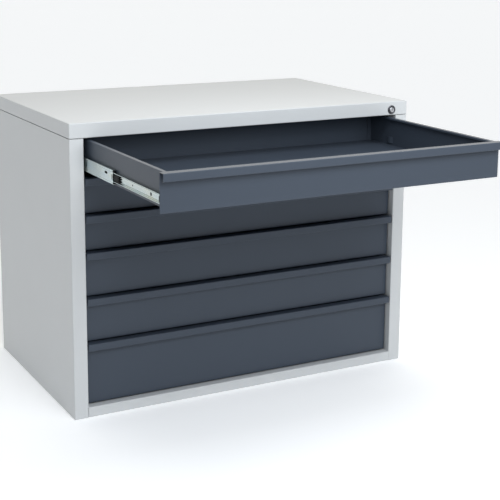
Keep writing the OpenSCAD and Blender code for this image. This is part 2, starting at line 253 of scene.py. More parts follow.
@dataclass(frozen=True)
class PowderCoat:
    """Baked powder coat: satin, with orange peel and the sheet's slight waviness below it.

    Attributes:
        name: The material's name.
        colour: The paint's colour.
        roughness: Its mean roughness.
        patch_mm: The size of the patches where its tone drifts.
        speck_mm: The size of its specks.
        peel_mm: The size of the orange peel's bumps.
        peel_depth_mm: Their height.
        wave_mm: The length of the sheet's waves.
        wave_depth_mm: Their height.
        drift: How far the tone drifts over the sheet.
        speck_share: The specks' share of the drift.
        spread: How far the roughness varies.
        coat: The strength of the paint's glossier top layer.
        coat_roughness: The roughness of that layer.
        gloss: How strongly its surface reflects.
    """

    name: str
    colour: Colour
    roughness: float = 0.45
    patch_mm: float = 140.0
    speck_mm: float = 0.35
    peel_mm: float = 1.6
    peel_depth_mm: float = 0.012
    wave_mm: float = 260.0
    wave_depth_mm: float = 0.5
    drift: float = 0.035
    speck_share: float = 0.25
    spread: float = 0.06
    coat: float = 0.2
    coat_roughness: float = 0.2
    gloss: float = 0.5

    @cache
    def material(self) -> bpy.types.Material:
        """Builds the material once."""
        shader = Shader(self.name, metallic=0.0, coat=self.coat)
        shader.surface.inputs["Coat Roughness"].default_value = self.coat_roughness
        shader.surface.inputs["Specular IOR Level"].default_value = self.gloss
        patches = shader.noise(self.patch_mm, 3.0)
        specks = shader.noise(self.speck_mm, 1.0)
        peel = shader.noise(self.peel_mm, 3.0)
        waves = shader.noise(self.wave_mm, 1.0)
        tone = patches * (1 - self.speck_share) + specks * self.speck_share
        darker = tuple(c * (1 - self.drift) for c in self.colour)
        lighter = tuple(c * (1 + self.drift) for c in self.colour)
        wavy = shader.relief(waves, self.wave_depth_mm)
        return shader.wear({
            "Base Color": shader.tint(darker, lighter, tone),
            "Roughness": self.roughness + (patches + peel - 1) * self.spread,
            "Normal": shader.relief(peel, self.peel_depth_mm, wavy),
        })


@dataclass(frozen=True)
class ZincPlate:
    """Bright zinc plate on cold-rolled strip: bluish, with yellowish clouds and rolling lines.

    Attributes:
        name: The material's name.
        blue: The plate's main colour.
        yellow: The colour of its clouds.
        cloud_mm: The size of its clouds.
        cloud_contrast: How sharply they stand out.
        cloud_offset: How much of the plate stays clear of them.
        line_mm: The width of the rolling lines.
        line_depth_mm: Their depth.
        line_dulling: How much they vary the roughness.
        spangle_mm: The size of the zinc's crystals.
        spangle_dulling: How much they vary the roughness.
        roughness: The roughness of its clearest parts.
    """

    name: str
    blue: Colour = (0.47, 0.57, 0.615)
    yellow: Colour = (0.62, 0.62, 0.53)
    cloud_mm: float = 28.0
    cloud_contrast: float = 1.6
    cloud_offset: float = 0.45
    line_mm: float = 0.5
    line_depth_mm: float = 0.01
    line_dulling: float = 0.12
    spangle_mm: float = 3.846
    spangle_dulling: float = 0.08
    roughness: float = 0.12

    @cache
    def material(self) -> bpy.types.Material:
        """Builds the material once."""
        shader = Shader(self.name, metallic=1.0)
        clouds = shader.noise(self.cloud_mm, 3.0, (1.0, 3.0, 1.0))
        lines = shader.noise(self.line_mm, 2.0, (1.0, 60.0, 1.0))
        spangle = shader.node(
            "ShaderNodeTexVoronoi", {"feature": "F1"},
            {"Vector": shader.place, "Scale": 1 / (self.spangle_mm * MM)},
        )
        dulling = lines * self.line_dulling + spangle * self.spangle_dulling
        return shader.wear({
            "Base Color": shader.tint(
                self.blue, self.yellow, clouds * self.cloud_contrast - self.cloud_offset
            ),
            "Roughness": self.roughness + dulling,
            "Normal": shader.relief(lines, self.line_depth_mm),
        })


@dataclass(frozen=True)
class BareMetal:
    """Chromed, ground or polished metal, with fine scratches.

    Attributes:
        name: The material's name.
        colour: The metal's colour.
        roughness: The roughness of its clean parts.
        scratch_mm: The width of its scratches.
        scratch_depth_mm: Their depth.
        smudge_mm: The size of its smudges.
        smudge_shade: How bright the colour stays in a smudge.
        dulling: How much scratches and smudges each add to the roughness.
    """

    name: str
    colour: Colour
    roughness: float = 0.15
    scratch_mm: float = 0.3
    scratch_depth_mm: float = 0.004
    smudge_mm: float = 9.0
    smudge_shade: float = 0.86
    dulling: float = 0.08

    @cache
    def material(self) -> bpy.types.Material:
        """Builds the material once."""
        shader = Shader(self.name, metallic=1.0)
        scratches = shader.noise(self.scratch_mm, 3.0, (6.0, 1.0, 1.0))
        smudges = shader.noise(self.smudge_mm, 2.0)
        dull = tuple(c * self.smudge_shade for c in self.colour)
        return shader.wear({
            "Base Color": shader.tint(dull, self.colour, smudges),
            "Roughness": self.roughness + (scratches + smudges) * self.dulling,
            "Normal": shader.relief(scratches, self.scratch_depth_mm),
        })


@dataclass(frozen=True)
class Moulded:
    """Moulded plastic or rubber with a fine spark-eroded grain.

    Attributes:
        name: The material's name.
        colour: Its colour.
        roughness: Its mean roughness.
        grain_mm: The size of its grain.
        grain_depth_mm: The grain's depth.
        flow_mm: The size of the paler marks that the melt leaves.
        paler: How many times brighter they are.
        haze: What they add to the colour besides.
        spread: How far the roughness varies.
        gloss: How strongly its surface reflects.
    """

    name: str
    colour: Colour
    roughness: float
    grain_mm: float = 0.4
    grain_depth_mm: float = 0.02
    flow_mm: float = 14.0
    paler: float = 1.5
    haze: float = 0.002
    spread: float = 0.1
    gloss: float = 0.12

    @cache
    def material(self) -> bpy.types.Material:
        """Builds the material once."""
        shader = Shader(self.name, metallic=0.0)
        shader.surface.inputs["Specular IOR Level"].default_value = self.gloss
        grain = shader.noise(self.grain_mm, 2.0)
        flow = shader.noise(self.flow_mm, 2.0)
        marks = tuple(c * self.paler + self.haze for c in self.colour)
        return shader.wear({
            "Base Color": shader.tint(self.colour, marks, flow),
            "Roughness": self.roughness + (grain - 0.5) * self.spread,
            "Normal": shader.relief(grain, self.grain_depth_mm),
        })


LIGHT_GREY = PowderCoat("light_grey_powder_coat", (0.585, 0.595, 0.595), roughness=0.5, coat=0.1)
ANTHRACITE = PowderCoat(
    "anthracite_powder_coat", (0.052, 0.065, 0.086), roughness=0.38, coat=0.12, gloss=0.2
)
ZINC = ZincPlate("bright_zinc_plate")
BALL_STEEL = BareMetal("ball_steel", (0.52, 0.53, 0.55), roughness=0.11)
CHROME = BareMetal("satin_chrome", (0.62, 0.63, 0.65), roughness=0.19)
# Chrome darkened to the tone of the dark gap round the lock's plug: painted shade on the rosette.
SHADE_DARKENED_CHROME = BareMetal("shade_darkened_chrome", (0.10, 0.10, 0.11), roughness=0.20)
BLACK_PLASTIC = Moulded("black_plastic", (0.004, 0.004, 0.0045), roughness=0.55)
RUBBER = Moulded("black_rubber", (0.014, 0.014, 0.014), roughness=0.7, grain_mm=0.7)

Finish = PowderCoat | ZincPlate | BareMetal | Moulded


# --- mesh code -----------------------------------------------------------------


class Run(Enum):
    """The axis that an outline is drawn out along."""

    ALONG_X = "x"
    ALONG_Y = "y"
    ALONG_Z = "z"

    def place(self, u: float, v: float, w: float) -> Point:
        """Puts a point of an outline in the frame.

        Args:
            u: The outline's first coordinate.
            v: The outline's second coordinate.
            w: The distance along the axis.

        Returns:
            The point, in (x, y, z).
        """
        if self is Run.ALONG_X:
            return (w, u, v)
        if self is Run.ALONG_Y:
            return (u, w, v)
        return (u, v, w)


class Ends(Enum):
    """How a loft's first and last rings are treated."""

    CAPPED = "capped"
    JOINED = "joined"


def left_of(way: Vector) -> Vector:
    """A way in the plane, turned left by a right angle."""
    return Vector((-way.y, way.x))


def bent(path: Sequence[Spot], thick: float, bend: float = 0.8, steps: int = 5) -> Sides:
    """Both sides of a bent sheet.

    Args:
        path: The corners of the sheet's reference side.
        thick: The sheet's thickness, to the left of the path, or to its right where negative.
        bend: The inner radius of its bends.
        steps: The segments of a right-angled bend.

    Returns:
        The reference side's points and the other side's, in pairs.
    """
    ways = [(Vector(b) - Vector(a)).normalized() for a, b in zip(path, path[1:])]
    pairs = [(Vector(path[0]), left_of(ways[0]))]
    for corner, before, after in zip(path[1:-1], ways, ways[1:]):
        turn = math.atan2(before.x * after.y - before.y * after.x, before.dot(after))
        side = math.copysign(1.0, turn)
        radius = bend + max(0.0, side * thick)
        start = Vector(corner) - before * radius * math.tan(abs(turn) / 2)
        centre = start + left_of(before) * side * radius
        count = max(2, round(steps * abs(turn) / (math.pi / 2)))
        for k in range(count + 1):
            angle = turn * k / count
            spoke = left_of(before) * math.cos(angle) - before * math.sin(angle)
            pairs.append((centre - spoke * side * radius, spoke))
    pairs.append((Vector(path[-1]), left_of(ways[-1])))
    near = [(at.x, at.y) for at, _ in pairs]
    return near, [(at.x + normal.x * thick, at.y + normal.y * thick) for at, normal in pairs]


def disc(radius: float, count: int = 24) -> list[Spot]:
    """The points of a circle round the origin.

    Args:
        radius: Its radius.
        count: Its points.

    Returns:
        Its points.
    """
    turn = 2 * math.pi / count
    return [(radius * math.cos(k * turn), radius * math.sin(k * turn)) for k in range(count)]


def turned(x: float, z: float, profile: Iterable[Spot]) -> list[list[Point]]:
    """The rings of a shape turned round an axis along Y.

    Args:
        x: The axis's x.
        z: The axis's z.
        profile: Each ring's radius and place along Y.

    Returns:
        The rings.
    """
    return [[(x + a, y, z + b) for a, b in disc(radius, 48)] for radius, y in profile]


def rounded(half_u: float, half_v: float, corner: float, steps: int = 5) -> list[Spot]:
    """A rectangle with round corners.

    Args:
        half_u: Half its first side.
        half_v: Half its second side.
        corner: The radius of its corners.
        steps: The segments of a corner.

    Returns:
        Its points.
    """
    spots: list[Spot] = []
    for number, (su, sv) in enumerate(((1, 1), (-1, 1), (-1, -1), (1, -1))):
        for k in range(steps + 1):
            angle = math.pi / 2 * (number + k / steps)
            spots.append((
                su * (half_u - corner) + corner * math.cos(angle),
                sv * (half_v - corner) + corner * math.sin(angle),
            ))
    return spots


class Draft:
    """A mesh in the making, in millimetres."""

    def __init__(self) -> None:
        """Starts empty."""
        self.points: list[Point] = []
        self.faces: list[tuple[int, ...]] = []

    def loft(self, rings: Sequence[Sequence[Point]], ends: Ends = Ends.CAPPED) -> "Draft":
        """Joins closed rings of equal length.

        Args:
            rings: The rings, in order.
            ends: Whether the end rings are capped, or joined to each other.

        Returns:
            The draft.
        """
        base, count = len(self.points), len(rings[0])
        for ring in rings:
            self.points.extend(ring)
        total = count * len(rings)
        last = len(rings) if ends is Ends.JOINED else len(rings) - 1
        for row in range(last):
            for k in range(count):
                a, b = row * count + k, row * count + (k + 1) % count
                quad = (a, b, (b + count) % total, (a + count) % total)
                self.faces.append(tuple(base + n for n in quad))
        if ends is Ends.CAPPED:
            self.faces.append(tuple(base + count - 1 - k for k in range(count)))
            self.faces.append(tuple(base + total - count + k for k in range(count)))
        return self

    def sheet(self, sides: Sides, run: Run, start: float, end: float) -> "Draft":
        """Draws a bent sheet out along an axis.

        Args:
            sides: The sheet's two sides, as bent() gives them.
            run: The axis.
            start: Where it starts along the axis.
            end: Where it ends.

        Returns:
            The draft.
        """
        near, far = sides
        loop = near + far[::-1]
        base, count = len(self.points), len(loop)
        for w in (start, end):
            self.points.extend(run.place(u, v, w) for u, v in loop)
        for k in range(count):
            nxt = (k + 1) % count
            self.faces.append((base + k, base + nxt, base + count + nxt, base + count + k))
        for k in range(len(near) - 1):
            cap = (k, k + 1, count - 2 - k, count - 1 - k)
            self.faces.append(tuple(base + n for n in cap))
            self.faces.append(tuple(base + count + n for n in reversed(cap)))
        return self

    def mirrored(self) -> "Draft":
        """Adds the draft's own mirror image in X.

        Returns:
            The draft.
        """
        base = len(self.points)
        self.points.extend([(-x, y, z) for x, y, z in self.points])
        self.faces.extend([tuple(base + n for n in reversed(face)) for face in self.faces])
        return self

    def merge(self, other: "Draft") -> "Draft":
        """Adds another draft's shapes.

        Args:
            other: The other draft.

        Returns:
            The draft.
        """
        base = len(self.points)
        self.points.extend(other.points)
        self.faces.extend(tuple(base + n for n in face) for face in other.faces)
        return self

    def block(self, low: Point, high: Point) -> "Draft":
        """Adds a box, as a cutter or as a part of a larger shape.

        Args:
            low: Its lowest corner.
            high: Its highest corner.

        Returns:
            The draft.
        """
        ring = [(low[0], low[1]), (high[0], low[1]), (high[0], high[1]), (low[0], high[1])]
        return self.loft([[(x, y, z) for x, y in ring] for z in (low[2], high[2])])

    def mesh(self, name: str) -> bpy.types.Mesh:
        """Turns the draft into a mesh, in metres.

        Args:
            name: The mesh's name.

        Returns:
            The mesh.
        """
        made = bpy.data.meshes.new(name)
        made.from_pydata([[c * MM for c in p] for p in self.points], [], self.faces)
        work = bmesh.new()
        work.from_mesh(made)
        bmesh.ops.recalc_face_normals(work, faces=work.faces)
        work.to_mesh(made)
        work.free()
        return made


def soften(piece: bpy.types.Object, width: float, steps: int = 2, weld: bool = False) -> None:
    """Breaks a piece's sharp edges.

    Args:
        piece: The piece.
        width: The width of the bevel, in millimetres.
        steps: The bevel's segments.
        weld: Whether doubled points are joined first.
    """
    if weld:
        piece.modifiers.new("weld", "WELD").merge_threshold = WELD_REACH * MM
    bevel = piece.modifiers.new("broken_edges", "BEVEL")
    bevel.width = width * MM
    bevel.segments = steps
    bevel.limit_method = "ANGLE"
    bevel.angle_limit = math.radians(SHARP_ANGLE)
    bevel.use_clamp_overlap = True
    piece.modifiers.new("even_shading", "WEIGHTED_NORMAL")
    for face in piece.data.polygons:
        face.use_smooth = True


def cut(piece: bpy.types.Object, cutter: Draft) -> None:
    """Cuts holes in a piece.

    Args:
        piece: The piece, with no modifier yet.
        cutter: Closed shapes, in millimetres.
    """
    tool = bpy.data.objects.new("cutter", cutter.mesh("cutter"))
    bpy.context.scene.collection.objects.link(tool)
    change = piece.modifiers.new("cut", "BOOLEAN")
    change.operation, change.solver, change.object = "DIFFERENCE", "EXACT", tool
    baked = bpy.data.meshes.new_from_object(
        piece.evaluated_get(bpy.context.evaluated_depsgraph_get())
    )
    piece.modifiers.clear()
    piece.data = baked
    bpy.data.objects.remove(tool)


def fit(
    draft: Draft,
    name: str,
    finish: Finish,
    body: str,
    replaces: Iterable[str] = (),
    edge: float = 0.25,
    cutter: Draft | None = None,
) -> None:
    """Turns a draft into a finished piece that rides on a body.

    Args:
        draft: The draft.
        name: The piece's name.
        finish: Its finish.
        body: The body that it rides on.
        replaces: The CAD nodes that it stands for.
        edge: The width of its broken edges, in millimetres.
        cutter: What is cut out of it.
    """
    piece = bpy.data.objects.new(name, draft.mesh(name))
    bpy.context.scene.collection.objects.link(piece)
    if cutter is not None:
        cut(piece, cutter)
    piece.data.materials.clear()
    piece.data.materials.append(finish.material())
    soften(piece, edge)
    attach(piece, body)
    if replaces:
        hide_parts(*replaces)
    LOG.info("%s rides on %s: %d faces", name, body, len(piece.data.polygons))


def dress(node: str, finish: Finish, edge: float = 0.25) -> None:
    """Gives a CAD node its finish and broken edges.

    Args:
        node: The node's name.
        finish: Its finish.
        edge: The width of its broken edges, in millimetres.
    """
    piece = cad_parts[node]
    piece.data.materials.clear()
    piece.data.materials.append(finish.material())
    soften(piece, edge, weld=True)
    LOG.info("%s keeps its CAD shape", node)


def box_mm(node: str) -> tuple[Vector, Vector]:
    """A CAD node's box at rest.

    Args:
        node: The node's name.

    Returns:
        Its lowest and highest corners, in millimetres.
    """
    low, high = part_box(node)
    return low / MM, high / MM


# --- the cabinet -----------------------------------------------------------------


@dataclass
class Carcass:
    """The lid, sides, base and back.

    Attributes:
        sheet: The thickness of its sheets.
        lid_return: The depth of the return at the foot of the lid's skirt.
        lid_corner: The radius of the lid's upright corners.
        lid_rim: The width of the lid's rim, inside which its top is one flat face.
        post_return: The depth of each post's return beside the drawers.
        rear_flange: The width of each side's rear flange.
        rail_height: The height of the bottom rail.
        rail_hem: The height of the hem behind the rail's ledge.
        rail_gap: The gap between the rail's ends and the posts.
        seam: The gap that shows below the lid.
        bend: The inner radius of the bends.
        lock_hole: The radius of the hole for the lock.
        punch_reach: How far the hole's cutter reaches to both sides of the skirt.
    """

    sheet: float = 1.5
    lid_return: float = 10.0
    lid_corner: float = 2.6
    lid_rim: float = 30.0
    post_return: float = 40.0
    rear_flange: float = 24.0
    rail_height: float = 28.5
    rail_hem: float = 10.0
    rail_gap: float = 0.3
    seam: float = 0.9
    bend: float = 1.0
    lock_hole: float = 9.65
    punch_reach: float = 5.0

    def build(self) -> None:
        """Builds and dresses the carcass."""
        self.build_lid()
        for side, name in ((-1, "left"), (1, "right")):
            self.build_side(name, side)
        self.build_base()
        dress("back_panel", LIGHT_GREY)
        dress("lid_stiffener", LIGHT_GREY)
        for name in ("left_front", "right_front", "left_rear", "right_rear"):
            dress(f"{name}_upright", LIGHT_GREY)
        dress("slide_screws", BALL_STEEL, edge=0.35)

    def build_lid(self) -> None:
        """Lid: a pan with a skirt and an in-turned foot on all four sides."""
        low, high = box_mm("lid")
        foot = self.lid_return + self.sheet
        path = [(self.lid_rim, high.z), (0.0, high.z), (0.0, low.z), (foot, low.z)]
        near, far = bent(path, self.sheet, self.bend)
        rings = []
        for inset, z in near + far[::-1]:
            corner = max(self.lid_corner - inset, SHARP_CORNER)
            ring = rounded(high.x - inset, high.y - inset, corner)
            rings.append([(x, y, z) for x, y in ring])
        lock_low, lock_high = box_mm("lock_housing")
        lock = (lock_low + lock_high) / 2
        ends = (low.y - self.punch_reach, low.y + self.punch_reach)
        hole = Draft().loft(turned(lock.x, lock.z, [(self.lock_hole, y) for y in ends]))
        draft = Draft().loft(rings)
        fit(draft, "lid_pan", LIGHT_GREY, "cabinet", ["lid"], cutter=hole)

    def build_side(self, name: str, side: int) -> None:
        """Side wall with its front post and rear flange, folded from one sheet.

        Args:
            name: left or right.
            side: -1 for the left, 1 for the right.
        """
        low, high = box_mm("right_side")
        path = [
            (low.x, low.y + self.post_return), (low.x, low.y), (high.x, low.y),
            (high.x, high.y), (high.x - self.rear_flange, high.y),
        ]
        near, far = bent(path, self.sheet, self.bend)
        sides = ([(side * x, y) for x, y in near], [(side * x, y) for x, y in far])
        draft = Draft().sheet(sides, Run.ALONG_Z, low.z, high.z - self.seam)
        fit(draft, f"{name}_wall", LIGHT_GREY, "cabinet", [f"{name}_side"])

    def build_base(self) -> None:
        """Floor sheet with the bottom rail folded up at its front edge."""
        low, high = box_mm("base_pan")
        post_x = box_mm("right_side")[0].x
        ledge_y = low.y + self.post_return - self.sheet
        rail = bent(
            [
                (low.y + self.post_return, low.z), (low.y, low.z), (low.y, self.rail_height),
                (ledge_y, self.rail_height), (ledge_y, self.rail_height - self.rail_hem),
            ],
            -self.sheet, self.bend,
        )
        rail_x = post_x - self.rail_gap
        draft = Draft().sheet(rail, Run.ALONG_X, -rail_x, rail_x)
        plate = bent([(low.y + self.post_return, low.z), (high.y, low.z)], self.sheet)
        draft.sheet(plate, Run.ALONG_X, low.x, high.x)
        fit(draft, "base_sheet", LIGHT_GREY, "cabinet", ["base_pan"])


@dataclass
class Drawer:
    """One drawer with its tray, front and slides.

    Attributes:
        number: The drawer's number, from the top.
        sheet: The thickness of its sheets.
        bend: The inner radius of its bends.
        hem: The width of the tray's hems.
        fold: The depth of the folds at the edges of its hems.
        notch: The width of the tabs at the tray's rear corners.
        tab_seam: The gap between a tab and the rear wall.
        stop_depth: How far the stops pressed from the side walls stand proud.
        stop_set_back: Their distance from the rear wall.
        stop_length: Their length.
        stop_bluntness: How blunt their curve is; 1 is a sine.
        stop_stretch: Their thickness, as a share of the sheet's.
        stop_lift: Their height above the floor.
        stop_height: Their own height.
        lip_height: The height of the handle lip.
        front_hem: The width of the flattened hems round the front.
        front_corner: The radius of the front's corners.
        roll: How far the front's face rolls back at its edges.
        roll_width: How wide that roll is.
        roll_knee: Where it steepens: the inset, and the share of the roll.
        witness: The depth of the line that the hems leave on the front's face.
        witness_half: Half the width of that line.
    """

    number: int
    sheet: float = 1.2
    bend: float = 0.8
    hem: float = 12.0
    fold: float = 6.0
    notch: float = 15.0
    tab_seam: float = 0.9
    stop_depth: float = 4.0
    stop_set_back: float = 85.0
    stop_length: float = 30.0
    stop_bluntness: float = 0.7
    stop_stretch: float = 0.8
    stop_lift: float = 6.0
    stop_height: float = 19.0
    lip_height: float = 20.0
    front_hem: float = 15.0
    front_corner: float = 1.6
    roll: float = 0.35
    roll_width: float = 9.0
    roll_knee: Spot = (4.0, 0.3)
    witness: float = 0.14
    witness_half: float = 2.0

    def __post_init__(self) -> None:
        """Reads the drawer's place from the frame."""
        self.tray_low, self.tray_high = self.box("tray")
        self.front_low, self.front_high = self.box("front")

    def box(self, node: str) -> tuple[Vector, Vector]:
        """The box of one of the drawer's nodes, in millimetres."""
        return box_mm(f"drawer_{self.number}_{node}")

    def fit(
        self, draft: Draft, name: str, finish: Finish, body: str, slot: str,
        replaces: str = "", edge: float = 0.25, cutter: Draft | None = None,
    ) -> None:
        """Fits one of the drawer's pieces.

        Args:
            draft: The piece's draft.
            name: Its name, without the drawer's number.
            finish: Its finish.
            body: The body that it rides on.
            replaces: The drawer's node that it stands for.
            edge: The width of its broken edges.
            cutter: What is cut out of it.
        """
        nodes = [f"drawer_{self.number}_{replaces}"] if replaces else []
        fit(draft, f"{name}_{self.number}", finish, body, nodes, edge, cutter)

    def build(self) -> None:
        """Builds and dresses the drawer."""
        self.build_tray()
        self.build_front()
        Slides(self).build()
        for cage in ("inner_cages", "outer_cages"):
            dress(f"drawer_{self.number}_{cage}", BALL_STEEL, edge=0.15)

    def build_tray(self) -> None:
        """Tray: a trough with hemmed walls, a rear wall between corner tabs, and stops."""
        low, high, thick = self.tray_low, self.tray_high, self.sheet
        wall, top, floor = high.x, high.z, low.z
        hem_x = wall - self.hem
        trough = bent(
            [
                (-hem_x, top - self.fold), (-hem_x, top), (-wall, top), (-wall, floor),
                (wall, floor), (wall, top), (hem_x, top), (hem_x, top - self.fold),
            ],
            thick, self.bend,
        )
        draft = Draft().sheet(trough, Run.ALONG_Y, low.y + thick, high.y)
        draft.sheet(bent([(-wall, low.y), (wall, low.y)], thick), Run.ALONG_Z, floor, top)
        rear = bent(
            [(high.y - self.hem, top), (high.y, top), (high.y, floor + thick)], -thick, self.bend
        )
        rear_x = wall - self.notch
        draft.sheet(rear, Run.ALONG_X, -rear_x, rear_x)
        tab = bent([(wall - thick, high.y), (rear_x + self.tab_seam, high.y)], thick)
        corner = Draft().sheet(tab, Run.ALONG_Z, floor + thick, top - thick)
        corner.sheet(self.stop(), Run.ALONG_Z, *self.stop_ends())
        draft.merge(corner.mirrored())
        self.fit(draft, "tray", ANTHRACITE, f"drawer_{self.number}", "drawer_paint", "tray")

    def stop(self, steps: int = 8) -> Sides:
        """A stop bulging from the tray's side wall.

        Args:
            steps: The segments of its curve.

        Returns:
            The two sides of its sheet, in (x, y).
        """
        wall, start = self.tray_high.x - self.sheet, self.tray_high.y - self.sheet
        curve = []
        for k in range(steps + 1):
            share = k / steps
            bulge = self.stop_depth * math.sin(math.pi * share) ** self.stop_bluntness
            curve.append((wall - bulge, start - self.stop_set_back - share * self.stop_length))
        return bent(curve, self.sheet * self.stop_stretch, self.bend / 2, 3)

    def stop_ends(self) -> Spot:
        """The heights of a stop's foot and top."""
        foot = self.tray_low.z + self.sheet + self.stop_lift
        return foot, foot + self.stop_height

    def build_front(self) -> None:
        """Front: a panel with flattened hems, and a handle lip that hooks over its top."""
        low, high, thick = self.front_low, self.front_high, self.sheet
        face = high.y - 2 * thick
        foot, top = low.z, high.z - thick
        middle_z, half_z = (foot + top) / 2, (top - foot) / 2
        rings = []
        for inset, depth in self.hemmed_edge():
            corner = max(self.front_corner - inset, SHARP_CORNER)
            ring = rounded(high.x - inset, half_z - inset, corner)
            rings.append([(x, face + depth, middle_z + z) for x, z in ring])
        lip_foot = high.z - self.lip_height
        lip = bent(
            [(low.y + self.fold, lip_foot), (low.y, lip_foot), (low.y, high.z), (high.y, high.z)],
            -thick, self.bend,
        )
        draft = Draft().loft(rings).sheet(lip, Run.ALONG_X, -high.x, high.x)
        self.fit(draft, "front_panel", ANTHRACITE, f"drawer_{self.number}", "drawer_paint", "front")

    def hemmed_edge(self, steps: int = 8) -> list[Spot]:
        """The front's edge: a faint line, a soft roll and a hem folded flat behind.

        Args:
            steps: The segments of the fold.

        Returns:
            Each ring's inset from the front's outline, and its depth behind the face.
        """
        thick, hem, half = self.sheet, self.front_hem, self.witness_half
        knee, share = self.roll_knee
        edge = [
            (hem + half, 0.0), (hem, self.witness), (hem - half, 0.0),
            (self.roll_width, 0.0), (knee, self.roll * share), (thick, self.roll),
        ]
        radius = (2 * thick - self.roll) / 2
        for k in range(1, steps):
            angle = math.pi * k / steps
            inset = thick - thick * math.sin(angle)
            edge.append((inset, self.roll + radius * (1 - math.cos(angle))))
        return edge + [(thick, 2 * thick), (hem, 2 * thick), (hem, thick)]


# --- slides --------------------------------------------------------------------


PRONG: tuple[Spot, ...] = (
    (9.0, -2.0), (1.0, -1.9), (0.0, -0.9), (0.0, 0.9), (1.0, 1.9), (9.0, 2.0),
)
LEVER_HALF: tuple[Spot, ...] = ((9.0, 9.4), (24.0, 9.4), (29.0, 6.0), (58.0, 3.0))
LEVER_TIP: Spot = (60.0, 0.0)


